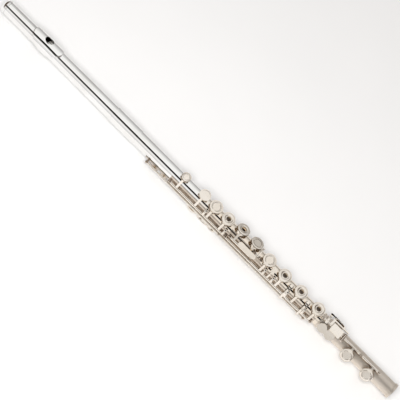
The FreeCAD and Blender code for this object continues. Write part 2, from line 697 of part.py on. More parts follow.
def g_sharp_key():
    """The left little finger's key, closed at rest, whose arm crosses the tube to the far side."""
    line = RodLine(*G_SHARP)
    x, phi = hole_x(8), dim("g_sharp_cup_phi")
    arm_x, lug_x, touch_x = -235.9, -238.0, -250.0
    rho, width = "dims.main_rod_rho", "dims.arm_width / 2"
    pieces = [cup("g_sharp_cup", x, phi, *LARGE_CUP)]
    pieces.append(hoop("g_sharp_hoop", rho, "dims.arm_thickness", width, arm_x, (line.phi, phi)))
    pieces += over_cup("g_sharp", rho, phi, arm_x, arm_x + 1.2, x, "dims.arm_thickness * 0.7")
    touch_phi = dim("g_sharp_touch_phi")
    pieces.append(plate("g_sharp_touch", "dims.g_sharp_touch_length", "dims.g_sharp_touch_width",
                        "dims.thin_touch", "dims.high_touch_rho", touch_phi, touch_x))
    top = around(dim("trill_touch_rho"), touch_phi - 3, lug_x)
    pieces.append(bar("g_sharp_lug", "dims.arm_width", "dims.arm_thickness", line.point(lug_x), top))
    key("g_sharp_key", line, pieces, 0, [(x, phi, *LARGE_CUP)])
    node(pad("g_sharp_felt", x, phi, *LARGE_CUP), "g_sharp_key_pad")


def trill_key(name, x, touch_x, solid_steel):
    """A trill key, closed at rest: a touch between two finger keys and a cup far up the tube."""
    line = RodLine(*TRILL)
    small = ("dims.trill_cup_radius", "dims.small_seat_height")
    phi, touch_phi = dim("trill_cup_phi"), dim("trill_touch_phi")
    rho, wide = "dims.trill_touch_rho", "dims.lever_width"
    pieces = [cup(f"{name}_cup", x, phi, *small)]
    pieces.append(hoop(f"{name}_arm", "dims.trill_rod_rho", "dims.arm_thickness",
                       "dims.arm_width * 0.8", x, (line.phi, phi)))
    pieces.append(hoop(f"{name}_reach", rho, "dims.thin_touch", wide, touch_x, (line.phi, touch_phi)))
    top = around(size(rho), line.phi, touch_x)
    pieces.append(bar(f"{name}_root", wide, "2.2", line.point(touch_x), top))
    low, high = f"{rho} - 0.8", f"{rho} + 0.8"
    pieces.append(radial(f"{name}_touch", "dims.trill_touch_radius", touch_phi, touch_x, low, high))
    room = (x, phi, *small)
    if solid_steel:
        pieces.append(rod(f"{name}_steel", "dims.steel_radius", line.point(), None, HINGES[name]))
        for index, spot in enumerate((x, touch_x)):
            pieces.append(line.tube(f"{name}_collar_{index}", spot - 3.0, spot + 3.0))
        whole = join(f"{name}_solid", pieces)
        node(cut(f"{name}_cut", whole, pad_room(f"{name}_room", *room)), name)
    else:
        key(name, line, pieces, 0, [room])
    node(pad(f"{name}_felt", x, phi, *small), f"{name}_pad")


def thumb_touch(name, line, arm_x, touch_x):
    """An arm bent round from the thumb rod, with its touch standing clear of the trill rod."""
    phi = dim("thumb_touch_phi")
    rho, level = "dims.main_rod_rho", "dims.thumb_touch_rho"
    arm = hoop(f"{name}_reach", rho, "dims.arm_thickness", "dims.arm_width", arm_x, (line.phi, phi))
    prop = radial(f"{name}_prop", "dims.arm_width * 0.45", phi, arm_x, f"{rho} - 0.5", level)
    touch = plate(f"{name}_touch", f"dims.{name}_length", "dims.thumb_touch_width",
                  "dims.touch_thickness", level, phi, touch_x)
    return [arm, prop, touch]


def thumb_keys():
    """The thumb's B key, open at rest, and the B flat lever beside it."""
    line = RodLine(*THUMB)
    phi, angle = dim("thumb_cup_phi"), dim("thumb_open")
    pieces = [cup("thumb_b_cup", THUMB_X, phi, *LARGE_CUP)]
    pieces.append(cup_arm("thumb_b_arm", line, THUMB_X, phi, *LARGE_CUP))
    pieces += thumb_touch("thumb_b", line, -318.0, -315.5)
    key("thumb_b_key", line, pieces, angle, [(THUMB_X, phi, *LARGE_CUP)])
    opened_pad("thumb_b_key_pad", line, pad("thumb_b_felt", THUMB_X, phi, *LARGE_CUP), angle)
    key("thumb_b_flat_lever", line, thumb_touch("thumb_flat", line, -298.0, -300.0), angle)


def side_lever():
    """The side B flat lever between the F sharp and F keys."""
    line = RodLine(*MAIN)
    x, bend_phi, touch_phi = -209.3, 48, dim("side_touch_phi")
    rho, wide = "dims.side_touch_rho", "dims.arm_width * 0.8"
    bend = around(size(rho), bend_phi, x)
    pieces = [bar("side_arm", wide, "dims.arm_thickness", line.point(x), bend)]
    pieces.append(hoop("side_reach", rho, "dims.touch_thickness", wide, x, (bend_phi, touch_phi)))
    touch = around(size(rho), touch_phi, x)
    pieces.append(block("side_touch", "dims.side_touch_length", "dims.side_touch_width",
                        "dims.touch_thickness", touch, touch_phi))
    key("side_b_flat_lever", line, pieces, 0)


def foot_keys():
    line = RodLine(*FOOT)
    phi, angle = dim("foot_cup_phi"), -dim("foot_open")
    foot_c_sharp(line, phi, angle)
    foot_c(line, phi, angle)
    foot_d_sharp(line)


def foot_c_sharp(line, phi, angle):
    x, touch_x = foot_hole_x(2), -103.1
    roller_phi = dim("roller_phi")
    seat = around(dim("roller_rho"), roller_phi, touch_x)
    pieces = [cup("low_c_sharp_cup", x, phi, *LARGE_CUP)]
    pieces.append(cup_arm("low_c_sharp_arm", line, x, phi, *LARGE_CUP))
    pieces.append(block("low_c_sharp_touch", "dims.low_c_sharp_touch_length", "dims.roller_length",
                        "dims.touch_thickness", seat, roller_phi))
    lug_size = ("dims.arm_width * 2", "dims.arm_thickness")
    pieces.append(bar("low_c_sharp_lug", *lug_size, line.point(touch_x), seat))
    key("low_c_sharp_key", line, pieces, angle, [(x, phi, *LARGE_CUP)])
    disc = pad("low_c_sharp_felt", x, phi, *LARGE_CUP)
    opened_pad("low_c_sharp_key_pad", line, disc, angle)


def roller_cradle(line, arm_x):
    """The riser, rail and pin that carry the low C roller."""
    roller_x, phi = dim("roller_x"), dim("roller_phi")
    start, end = roller_ends()
    rail = start - (end - start).normalize() * 2.6
    top = V(arm_x, rail.y, rail.z)
    pieces = [line.tube("low_c_collar", arm_x - 1.8, arm_x + 1.8)]
    pieces.append(bar("low_c_riser", "3.0", "dims.arm_thickness", line.point(arm_x), top))
    middle = V((arm_x + roller_x) / 2, rail.y, rail.z)
    pieces.append(block("low_c_rail", f"{roller_x - arm_x} + 3.4", "1.6", "2.0", middle, phi))
    return pieces + [rod("low_c_pin", "dims.roller_pin", rail, end)]


def foot_c(line, phi, angle):
    """The low C key on its solid steel, with the roller's cradle at the head end of the rod."""
    x, arm_x = foot_hole_x(1), -113.2
    pieces = [cup("low_c_cup", x, phi, *LARGE_CUP), cup_arm("low_c_arm", line, x, phi, *LARGE_CUP)]
    pieces.append(rod("low_c_steel", "dims.steel_radius", line.point(), None, (-126.6, -27.0)))
    pieces.append(line.tube("low_c_hinge", *HINGES["low_c_key"]))
    pieces += roller_cradle(line, arm_x)
    solid = cut("low_c_cut", join("low_c_solid", pieces), pad_room("low_c_room", x, phi, *LARGE_CUP))
    node(line.opened(solid, angle), "low_c_key")
    opened_pad("low_c_key_pad", line, pad("low_c_felt", x, phi, *LARGE_CUP), angle)
    start, end = roller_ends()
    barrel = rod("roller_outside", "dims.roller_radius", start, end)
    reach = end - start
    bore = rod("roller_bore", "dims.roller_pin + dims.slip_gap", start - reach, end + reach)
    node(line.opened(cut("roller_cut", barrel, bore), angle), "low_c_roller")


def roller_ends():
    """The two ends of the roller, which lies across the tube."""
    centre = around(dim("roller_rho"), dim("roller_phi"), dim("roller_x"))
    across = FreeCAD.Rotation(X_AXIS, dim("roller_phi")).multVec(-Y_AXIS)
    half = across * (dim("roller_length") / 2)
    return centre - half, centre + half


def foot_d_sharp(line):
    """The D sharp key, closed at rest: its touch is on the player's side and its cup behind."""
    x, phi, arm_x = foot_hole_x(3), dim("d_sharp_cup_phi"), -119.3
    rho, leaf_phi = "dims.foot_rod_rho", dim("leaf_phi")
    arm_size = ("dims.arm_thickness", "dims.arm_width")
    pieces = [cup("d_sharp_cup", x, phi, *LARGE_CUP)]
    pieces.append(hoop("d_sharp_hoop", rho, *arm_size, arm_x, (line.phi, phi)))
    pieces += over_cup("d_sharp", rho, phi, arm_x, arm_x - 1.6, x, "dims.arm_thickness * 0.8")
    pieces.append(hoop("d_sharp_reach", "14.2", "1.6", "dims.arm_width", arm_x, (line.phi, leaf_phi - 5)))
    low, high = [f"dims.leaf_rho {sign} dims.leaf_thickness / 2" for sign in "-+"]
    pieces.append(radial("d_sharp_leaf", "dims.leaf_radius", leaf_phi, -117.6, low, high))
    pieces.append(radial("d_sharp_lobe", "dims.lobe_radius", leaf_phi, -105.0, low, high))
    key("d_sharp_key", line, pieces, 0, [(x, phi, *LARGE_CUP)])
    node(pad("d_sharp_felt", x, phi, *LARGE_CUP), "d_sharp_key_pad")


# ---------------------------------------------------------------- hardware

BODY_POSTS = [
    (MAIN, (-377.5, -281.5, -133.6)),
    (OFFSET_G, (-277.3, -240.6)),
    (G_SHARP, (-241.8, -232.2)),
    (THUMB, (-342.4, -289.6)),
]
TRILL_POSTS = (-414.3, -288.6, -142.4)
BODY_STEELS = [(MAIN, (-378.9, -132.2)), (OFFSET_G, (-278.6, -239.4)),
               (G_SHARP, (-243.2, -230.8)), (THUMB, (-343.8, -288.2))]
# Straps under the posts: from x, to x, from phi, to phi.
RIBS = [(-420.0, -380.4, 95, 125), (-380.0, -130.8, 56, 122),
        (-281.0, -228.0, 22, 55.5), (-346.0, -286.0, 205, 235)]
FOOT_POSTS = (-125.9, -60.3, -29.3)
FOOT_RIB = (-111.8, -24.0, -2, 32)


def post(name, line, x):
    """A stem with a ball that holds the end of a steel."""
    centre = line.point(x)
    foot = around(dim("tube_radius"), line.phi, x)
    stem = rod(f"{name}_stem", "dims.post_radius", foot, centre)
    return [stem, ball(f"{name}_ball", "dims.ball_radius", centre)]


def posts(name, places, holes, base):
    """Separate posts as one group, cut to sit on the ribs and bored for the steels."""
    pieces = []
    for index, (line, x) in enumerate(places):
        pieces += post(f"{name}_{index}", line, x)
    room = join(f"{name}_holes", holes + [base])
    return node(cut(f"{name}_cut", join(f"{name}_all", pieces), room), name)


def ribs(name, straps):
    middle = "(dims.tube_radius + dims.rib_radius) / 2"
    thick = "dims.rib_radius - dims.tube_radius"
    pieces = []
    for index, (start, end, low, high) in enumerate(straps):
        centre = (start + end) / 2
        pieces.append(hoop(f"{name}_{index}", middle, thick, f"{end - start}", centre, (low, high)))
    return pieces


def body_steels(name):
    """The steels that the keys of the body joint turn on."""
    return [rod(f"{name}_{index}", "dims.steel_radius", RodLine(*line).point(), None, span)
            for index, (line, span) in enumerate(BODY_STEELS)]


def body_hardware():
    trill = RodLine(*TRILL).point()
    chimneys = [radial(f"rib_gap_{index}", f"{radius} + dims.chimney_wall", phi, x, "0", seat)
                for index, (x, phi, radius, seat) in enumerate(body_holes())]
    straps = join("body_rib_straps", ribs("body_rib", RIBS))
    node(cut("body_ribs_cut", straps, join("rib_gaps", chimneys)), "body_ribs")
    node(join("body_steel_set", body_steels("body_steel")), "body_steels")
    node(join("body_spring_set", spring_wires("body_spring", BODY_SPRINGS)), "body_springs")
    holes = body_steels("post_hole") + spring_wires("body_spring_hole", BODY_SPRINGS)
    clear = "dims.tube_clear"
    holes.append(rod("trill_hole", f"dims.steel_radius + {clear}", trill, None, (-420, -130)))
    holes.append(rod("trill_guide", f"dims.hinge_radius + {clear}", trill, None, (-292, -285)))
    places = [(RodLine(*line), x) for line, spots in BODY_POSTS for x in spots]
    places += [(RodLine(*TRILL), x) for x in TRILL_POSTS]
    base = rod("post_base", "dims.rib_radius", V(0, 0, 0), None, (-425, -128))
    posts("body_posts", places, holes, base)


# Each spring as its rod, the post that holds it, and where its tip lies.
BODY_SPRINGS = [(MAIN, -281.5, -300.0), (MAIN, -377.5, -360.0),
                (MAIN, -133.6, -150.0), (TRILL, -414.3, -396.0)]


def spring_wires(name, wires):
    """Needle springs, each fixed in a post and lying beside its hinge tube."""
    pieces = []
    for index, (place, post_x, tip_x) in enumerate(wires):
        point = around(dim("spring_rho"), RodLine(*place).phi + dim("spring_lean"), 0)
        reach = sorted((post_x, tip_x))
        pieces.append(rod(f"{name}_{index}", "dims.spring_radius", point, None, reach))
    return pieces


FOOT_SPRINGS = [(FOOT, -60.3, -80.0), (FOOT, -29.3, -48.0)]


def foot_hardware():
    line = RodLine(*FOOT)
    start, end, low, high = FOOT_RIB
    gaps = [radial(f"foot_rib_gap_{index}", f"{radius} + dims.chimney_wall", phi, x, "0", seat)
            for index, (x, phi, radius, seat) in enumerate(foot_holes())]
    strap_piece = ribs("foot_rib_strap", [(start, end, low, high)])[0]
    node(cut("foot_rib_cut", strap_piece, join("foot_rib_gaps", gaps)), "foot_rib")
    clear = "dims.steel_radius + dims.tube_clear"
    holes = [rod("foot_post_hole", clear, line.point(), None, (-130, -20))]
    holes += spring_wires("foot_spring_hole", FOOT_SPRINGS)
    base = rod("foot_post_base", "dims.rib_radius", V(0, 0, 0), None, (-114, -20))
    ring = rod("foot_socket_base", "dims.ring_radius", V(0, 0, 0), None, (-130, -114))
    places = [(line, x) for x in FOOT_POSTS]
    posts("foot_posts", places, holes, join("foot_bases", [base, ring]))
    node(join("foot_spring_set", spring_wires("foot_spring", FOOT_SPRINGS)), "foot_springs")


# ---------------------------------------------------------------- build and write


def export_nodes():
    """Check every object, then write each sub-part to its own file."""
    document.recompute()
    for item in document.Objects:
        if "Invalid" in item.State or "Error" in item.State:
            raise RuntimeError(f"{item.Name} failed: {item.State}")
    for item in nodes:
        if item.Shape.isNull() or not item.Shape.isValid() or not item.Shape.Solids:
            raise RuntimeError(f"{item.Label} has no valid solid")
    os.makedirs("parts", exist_ok=True)
    for item in nodes:
        item.Shape.exportStep(os.path.join("parts", f"{item.Label}.step"))
        print(item.Label, len(item.Shape.Solids), "solids", round(item.Shape.Volume, 1), "mm3")


def main():
    fill_sheet()
    body_tubes()
    foot_tubes()
    head_tube()
    lip_plate()
    riser()
    stopper()
    crown()
    finger_keys()
    first_finger_key()
    offset_g_key()
    g_sharp_key()
    trill_key("d_trill_key", TRILL_X[1], -180.6, False)
    trill_key("d_sharp_trill_key", TRILL_X[0], -151.7, True)
    thumb_keys()
    side_lever()
    foot_keys()
    body_hardware()
    foot_hardware()
    export_nodes()


main()
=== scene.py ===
"""Looks for the concert flute: silver plate, pads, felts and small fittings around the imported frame."""
import json
import math

import bpy
import numpy as np
from mathutils import Matrix, Vector


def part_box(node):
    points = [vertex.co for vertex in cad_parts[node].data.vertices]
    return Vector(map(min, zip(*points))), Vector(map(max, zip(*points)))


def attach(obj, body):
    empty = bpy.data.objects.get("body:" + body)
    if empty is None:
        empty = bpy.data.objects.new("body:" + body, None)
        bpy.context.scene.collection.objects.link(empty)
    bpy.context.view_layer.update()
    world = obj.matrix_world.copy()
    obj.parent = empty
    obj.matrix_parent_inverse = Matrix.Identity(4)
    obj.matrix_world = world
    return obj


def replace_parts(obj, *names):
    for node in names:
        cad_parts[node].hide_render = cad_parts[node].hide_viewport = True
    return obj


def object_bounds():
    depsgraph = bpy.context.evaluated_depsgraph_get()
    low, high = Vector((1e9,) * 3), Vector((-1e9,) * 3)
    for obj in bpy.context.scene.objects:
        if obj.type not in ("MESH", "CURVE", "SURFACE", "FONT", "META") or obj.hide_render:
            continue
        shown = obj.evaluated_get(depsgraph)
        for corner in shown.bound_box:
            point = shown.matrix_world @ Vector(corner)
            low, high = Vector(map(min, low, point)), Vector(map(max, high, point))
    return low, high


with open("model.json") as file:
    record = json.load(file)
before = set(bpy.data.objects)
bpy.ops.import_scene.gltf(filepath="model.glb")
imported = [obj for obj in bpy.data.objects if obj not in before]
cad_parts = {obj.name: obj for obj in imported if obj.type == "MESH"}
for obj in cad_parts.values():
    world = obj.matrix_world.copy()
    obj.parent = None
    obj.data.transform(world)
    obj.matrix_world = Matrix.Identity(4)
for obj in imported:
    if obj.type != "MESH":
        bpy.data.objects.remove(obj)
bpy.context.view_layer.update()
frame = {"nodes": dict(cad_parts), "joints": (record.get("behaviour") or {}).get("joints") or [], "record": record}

MM = 0.001
RECORD = frame["record"]
SLOTS = {row["node"]: row["material_slot"] for row in RECORD["subparts"]}
BODY_OF = {node: body for body, nodes in RECORD["behaviour"]["bodies"].items() for node in nodes}
HINGES = [joint for joint in frame["joints"] if joint["type"] == "hinge"]
ROD_LINES = {joint["child"]: Vector(joint["pos_m"]) for joint in HINGES}
SCENE = bpy.context.scene

# Sockets of a colour Mix node, whose names repeat and so are told apart by their index.
FIRST_COLOUR, SECOND_COLOUR, MIXED_COLOUR = 6, 7, 2


# ---------------------------------------------------------------- materials


def new_material(name, colour, roughness, metallic=0.0):
    """A Principled material whose constant values sit on the shader's own sockets."""
    material = bpy.data.materials.new(name)
    material.use_nodes = True
    shader = material.node_tree.nodes["Principled BSDF"]
    shader.inputs["Base Color"].default_value = (*colour, 1.0)
    shader.inputs["Roughness"].default_value = roughness
    shader.inputs["Metallic"].default_value = metallic
    return material, shader


def add_node(material, kind, **values):
    """Add a node and set the named inputs that have plain values."""
    made = material.node_tree.nodes.new(kind)
    for key, value in values.items():
        made.inputs[key.replace("_", " ")].default_value = value
    return made


def object_noise(material, scale, detail=3.0, stretch=(1.0, 1.0, 1.0)):
    """Noise in the object's own metres, stretched along an axis where the finish has a grain."""
    coordinates = material.node_tree.nodes.new("ShaderNodeTexCoord")
    mapping = material.node_tree.nodes.new("ShaderNodeMapping")
    mapping.inputs["Scale"].default_value = stretch
    noise = add_node(material, "ShaderNodeTexNoise", Scale=scale, Detail=detail)
    link = material.node_tree.links.new
    link(coordinates.outputs["Object"], mapping.inputs["Vector"])
    link(mapping.outputs["Vector"], noise.inputs["Vector"])
    return noise


def map_range(material, source, low, high, from_low=0.35, from_high=0.65):
    """Stretch a value over a new range; a noise factor mostly lies between 0.35 and 0.65."""
    ranged = material.node_tree.nodes.new("ShaderNodeMapRange")
    ranged.inputs["From Min"].default_value = from_low
    ranged.inputs["From Max"].default_value = from_high
    ranged.inputs["To Min"].default_value = low
    ranged.inputs["To Max"].default_value = high
    material.node_tree.links.new(source, ranged.inputs["Value"])
    return ranged.outputs["Result"]


def colour_mix(material, factor, first, second):
    """Blend two colours by a noise factor."""
    ramp = material.node_tree.nodes.new("ShaderNodeValToRGB")
    ramp.color_ramp.elements[0].color = (*first, 1.0)
    ramp.color_ramp.elements[1].color = (*second, 1.0)
    ramp.color_ramp.elements[0].position = 0.35
    ramp.color_ramp.elements[1].position = 0.65
    material.node_tree.links.new(factor, ramp.inputs["Fac"])
    return ramp.outputs["Color"]


def add_bump(material, shader, height, distance, strength):
    """Fine relief of this many metres from a height value."""
    bump = material.node_tree.nodes.new("ShaderNodeBump")
    bump.inputs["Strength"].default_value = strength
    bump.inputs["Distance"].default_value = distance
    material.node_tree.links.new(height, bump.inputs["Height"])
    material.node_tree.links.new(bump.outputs["Normal"], shader.inputs["Normal"])


def silver(name, colour, tarnish_and_shade, rough_low, rough_high, buff=(1.0, 1.0, 1.0)):
    """Silver plate: faint tarnish clouds, a roughness that varies, and fine buffing scratches."""
    material, shader = new_material(name, colour, rough_low, 1.0)
    links = material.node_tree.links
    clouds = object_noise(material, 42.0)
    links.new(colour_mix(material, clouds.outputs["Fac"], colour, tarnish_and_shade), shader.inputs["Base Color"])
    smears = object_noise(material, 160.0, 4.0, buff)
    links.new(map_range(material, smears.outputs["Fac"], rough_low, rough_high), shader.inputs["Roughness"])
    scratches = object_noise(material, 1400.0, 2.0, buff)
    add_bump(material, shader, scratches.outputs["Fac"], 0.000012, 0.35)
    return material


def coated(name, colour, patch, roughness, grain, relief, coat=0.0):
    """A non-metal: patchy colour, varied roughness and a fine grain in relief."""
    material, shader = new_material(name, colour, roughness)
    links = material.node_tree.links
    clouds = object_noise(material, grain * 0.2)
    links.new(colour_mix(material, clouds.outputs["Fac"], colour, patch), shader.inputs["Base Color"])
    fine = object_noise(material, grain, 5.0)
    spread = map_range(material, fine.outputs["Fac"], roughness * 0.85, min(roughness * 1.15, 1.0))
    links.new(spread, shader.inputs["Roughness"])
    shader.inputs["Coat Weight"].default_value = coat
    add_bump(material, shader, fine.outputs["Fac"], relief, 0.6)
    return material


def darken_bore(material, radius):
    """Inside this radius of the bore's axis the silver is painted a dull brown and not metal, as painted shade
    inside the tube.
    """
    tree = material.node_tree
    links = tree.links
    coordinates = tree.nodes.new("ShaderNodeTexCoord")
    flatten = tree.nodes.new("ShaderNodeVectorMath")
    flatten.operation = "MULTIPLY"
    flatten.inputs[1].default_value = (0.0, 1.0, 1.0)
    distance = tree.nodes.new("ShaderNodeVectorMath")
    distance.operation = "LENGTH"
    inside = tree.nodes.new("ShaderNodeMath")
    inside.operation = "LESS_THAN"
    inside.inputs[1].default_value = radius
    links.new(coordinates.outputs["Object"], flatten.inputs[0])
    links.new(flatten.outputs["Vector"], distance.inputs[0])
    links.new(distance.outputs["Value"], inside.inputs[0])
    # Painted shade: a dull brown non-metal for the inside of the bore.
    tarnish_and_shade = tree.nodes.new("ShaderNodeBsdfPrincipled")
    tarnish_and_shade.inputs["Base Color"].default_value = (0.36, 0.29, 0.23, 1)
    tarnish_and_shade.inputs["Roughness"].default_value = 0.55
    mix = tree.nodes.new("ShaderNodeMixShader")
    outside = tree.nodes["Principled BSDF"]
    links.new(inside.outputs["Value"], mix.inputs["Fac"])
    links.new(outside.outputs["BSDF"], mix.inputs[1])
    links.new(tarnish_and_shade.outputs["BSDF"], mix.inputs[2])
    links.new(mix.outputs["Shader"], tree.nodes["Material Output"].inputs["Surface"])
    return material


def painted_shade_under_keys(material):
    """Painted shade under the keys: the body tube's silver is multiplied to a browner colour along the keyed
    length.
    """
    tree = material.node_tree
    links = tree.links
    shader = tree.nodes["Principled BSDF"]
    bright = shader.inputs["Base Color"].links[0].from_socket
    coordinates = tree.nodes.new("ShaderNodeTexCoord")
    split = tree.nodes.new("ShaderNodeSeparateXYZ")
    links.new(coordinates.outputs["Object"], split.inputs["Vector"])
    # Painted shade mask: none before KEYS_START, and full from 30 mm beyond it along the tube.
    share = map_range(material, split.outputs["X"], 0.0, 1.0, KEYS_START, KEYS_START + 30 * MM)
    mix = tree.nodes.new("ShaderNodeMix")
    mix.data_type = "RGBA"
    mix.blend_type = "MULTIPLY"
    links.new(share, mix.inputs["Factor"])
    links.new(bright, mix.inputs[FIRST_COLOUR])
    # Painted shade: the browner colour that the keyed length of the tube is multiplied by.
    mix.inputs[SECOND_COLOUR].default_value = (0.93, 0.84, 0.735, 1)
    links.new(mix.outputs[MIXED_COLOUR], shader.inputs["Base Color"])
    return material


# Between the bore, at 9.5 mm, and the outside of the tube, at 9.9 mm: the bore's painted shade lies inside this
# radius.
MID_WALL = 9.7 * MM
KEYS_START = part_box("c_sharp_key")[0].x + 30 * MM
LENGTHWISE = (0.06, 1.0, 1.0)
TUBE_FINISH = ((0.94, 0.935, 0.925), (0.89, 0.88, 0.86), 0.025, 0.06, LENGTHWISE)
FOOT_FINISH = ((0.84, 0.77, 0.69), (0.79, 0.715, 0.63), 0.50, 0.60, LENGTHWISE)
RIB_FINISH = ((0.66, 0.58, 0.50), (0.55, 0.47, 0.39), 0.16, 0.28, (0.08, 1.0, 1.0))
WIRE_FINISH = ((0.50, 0.33, 0.16), (0.38, 0.24, 0.12), 0.22, 0.34, (0.05, 1.0, 1.0))
ROD_FINISH = ((0.55, 0.53, 0.51), (0.52, 0.50, 0.48), 0.18, 0.28, (0.05, 1.0, 1.0))
MATERIALS = {
    "silver_tube": silver("tube_silver", *TUBE_FINISH),
    "foot_silver": silver("warm_silver", *FOOT_FINISH),
    "rib_silver": silver("rib_silver", *RIB_FINISH),
    "key_silver": silver("key_silver", (0.90, 0.84, 0.765), (0.82, 0.75, 0.66), 0.08, 0.18),
    "roller_silver": silver("roller_silver", (0.78, 0.71, 0.63), (0.70, 0.62, 0.54), 0.14, 0.24),
    "spring_wire": silver("bronze_wire", *WIRE_FINISH),
    "pad_skin": coated("fish_skin", (0.80, 0.64, 0.44), (0.70, 0.52, 0.34), 0.42, 900.0, 0.00002, 0.3),
    "cork": coated("cork", (0.52, 0.34, 0.19), (0.36, 0.22, 0.12), 0.85, 700.0, 0.00012),
    "screw_steel": silver("blued_steel", (0.17, 0.15, 0.14), (0.11, 0.10, 0.10), 0.26, 0.38),
    "felt": coated("dark_felt", (0.16, 0.10, 0.07), (0.10, 0.06, 0.045), 0.95, 1500.0, 0.00006),
    "rod_steel": silver("drawn_steel", *ROD_FINISH),
    # Painted shade: the body tube's silver, painted dull brown inside the bore and browner along the keyed length.
    "painted_shade_tube": painted_shade_under_keys(darken_bore(silver("body_silver", *TUBE_FINISH), MID_WALL)),
    # Painted shade: the foot tube's silver, painted dull brown inside the bore.
    "painted_shade_foot": darken_bore(silver("foot_inside_silver", *FOOT_FINISH), MID_WALL),
}
# Tubes whose silver carries painted shade: inside the bore, and on the body also along the keyed length.
PAINTED_SHADE_OF = {"body_tube": "painted_shade_tube", "foot_tube": "painted_shade_foot"}


def dress_cad_nodes():
    """Give every carried-over CAD node the material of its slot."""
    for name, item in frame["nodes"].items():
        material = MATERIALS[PAINTED_SHADE_OF.get(name, SLOTS[name])]
        item.data.materials.clear()
        item.data.materials.append(material)


dress_cad_nodes()


# ---------------------------------------------------------------- mesh building


def add_mesh(name, points, faces, material, body, slot):
    """A smooth mesh piece that moves with a body and takes the given material; the slot is not used."""
    mesh = bpy.data.meshes.new(name)
    mesh.from_pydata([tuple(point) for point in points], [], faces)
    mesh.validate()
    mesh.polygons.foreach_set("use_smooth", [True] * len(mesh.polygons))
    mesh.set_sharp_from_angle(angle=math.radians(38))
    mesh.materials.append(MATERIALS[material])
    piece = bpy.data.objects.new(name, mesh)
    SCENE.collection.objects.link(piece)
    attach(piece, body)
    return piece


def turned_shape(profile, centre, axis, steps=64, ripple=None):
    """Points and faces of a profile of (radius, height) turned about an axis through centre."""
    axis = axis.normalized()
    side = axis.orthogonal().normalized()
    other = axis.cross(side)
    points, rings = [], []
    for radius, height in profile:
        if radius == 0:
            rings.append([len(points)])
            points.append(centre + axis * height)
            continue
        ring = []
        for step in range(steps):
            angle = math.tau * step / steps
            grown = radius + (ripple(step, radius, height) if ripple else 0.0)
            spoke = side * math.cos(angle) + other * math.sin(angle)
            ring.append(len(points))
            points.append(centre + axis * height + spoke * grown)
        rings.append(ring)
    faces = []
    closed = profile[0][0] != 0 and profile[-1][0] != 0
    pairs = list(zip(rings, rings[1:])) + ([(rings[-1], rings[0])] if closed else [])
    for first, second in pairs:
        for step in range(steps):
            following = (step + 1) % steps
            if len(first) == 1 and len(second) > 1:
                faces.append((first[0], second[step], second[following]))
            elif len(second) == 1 and len(first) > 1:
                faces.append((first[step], second[0], first[following]))
            elif len(first) > 1:
                faces.append((first[step], second[step], second[following], first[following]))
    return points, faces


def merged(shapes):
    """Several (points, faces) shapes as one."""
    points, faces = [], []
    for more_points, more_faces in shapes:
        start = len(points)
        points += more_points
        faces += [tuple(index + start for index in face) for face in more_faces]
    return points, faces


def scaled(profile):
    """A profile given in millimetres, in metres."""
    return [(radius * MM, height * MM) for radius, height in profile]


def corners(node):
    """Every vertex of a CAD node, in metres."""
    mesh = frame["nodes"][node].data
    found = np.empty(len(mesh.vertices) * 3)
    mesh.vertices.foreach_get("co", found)
    return found.reshape(-1, 3)


# A pad node longer than this holds two pads.
LARGEST_CUP = 20 * MM


def discs(node):
    """Each disc in a pad node as (centre, outward direction, radius, half thickness)."""
    found = corners(node)
    if np.ptp(found[:, 0]) < LARGEST_CUP:
        groups = [found]
    else:
        middle = (found[:, 0].min() + found[:, 0].max()) / 2
        groups = [found[found[:, 0] < middle], found[found[:, 0] >= middle]]
    results = []
    for group in groups:
        centre = (group.min(axis=0) + group.max(axis=0)) / 2
        offsets = group - centre
        direction = np.linalg.svd(offsets, full_matrices=False)[2][2]
        if direction @ (centre * (0, 1, 1)) < 0:
            direction = -direction
        heights = offsets @ direction
        flat = offsets - np.outer(heights, direction)
        radius = np.linalg.norm(flat, axis=1).max()
        results.append((Vector(centre), Vector(direction), radius, np.abs(heights).max()))
    return results


# ---------------------------------------------------------------- pads, springs and cork

# The radius of the hole through an open cup, in millimetres.
FINGER_HOLE = 3.4
OPEN_PADS = ("d_key_pad", "e_key_pad", "f_key_pad", "a_key_pad")


def pad_shape(centre, outward, radius, half, hole):
    """A felt pad in its skin: round shoulders, and the ring that the tone hole has pressed in."""
    r, h = radius / MM, half / MM
    seat = r - 1.3
    pressed = [(seat - 0.9, -h + 0.05), (seat - 0.45, -h + 0.16), (seat, -h + 0.2),
               (seat + 0.45, -h + 0.12), (r - 0.35, -h), (r - 0.1, -h + 0.12), (r, -h + 0.4),
               (r, h - 0.02)]
    if hole:
        inner = FINGER_HOLE + 0.02
        collar = [(inner, h - 0.02), (inner, -h - 0.02), (inner + 0.55, -h - 0.08), (inner + 0.8, -h + 0.05)]
        profile = collar + pressed
    else:
        profile = [(0, -h + 0.05)] + pressed + [(0, h - 0.02)]
    return turned_shape(scaled(profile), centre, outward)


def add_pads():
    """A skin-covered pad in every cup, in place of the plain discs."""
    for node, slot in SLOTS.items():
        if slot != "pad_skin":
            continue
        shapes = []
        for index, disc in enumerate(discs(node)):
            hole = node in OPEN_PADS or (node == "g_key_pads" and index == 0)
            shapes.append(pad_shape(*disc, hole))
        piece = add_mesh(f"{node}_skin", *merged(shapes), "pad_skin", BODY_OF[node], "pad_skin")
        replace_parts(piece, node)


def needle(start, end, radius):
    """A spring wire that tapers to its tip."""
    run = end - start
    length = run.length
    profile = [(0, 0), (radius, 0), (radius, length * 0.7), (radius * 0.55, length * 0.97), (0, length)]
    return turned_shape(profile, start, run, 12)


# Points this near a wire's line, and no more than a wire's length away, belong to it.
WIRE_REACH = 0.7 * MM
WIRE_LENGTH = 25 * MM
WIRE_RADIUS = 0.28 * MM


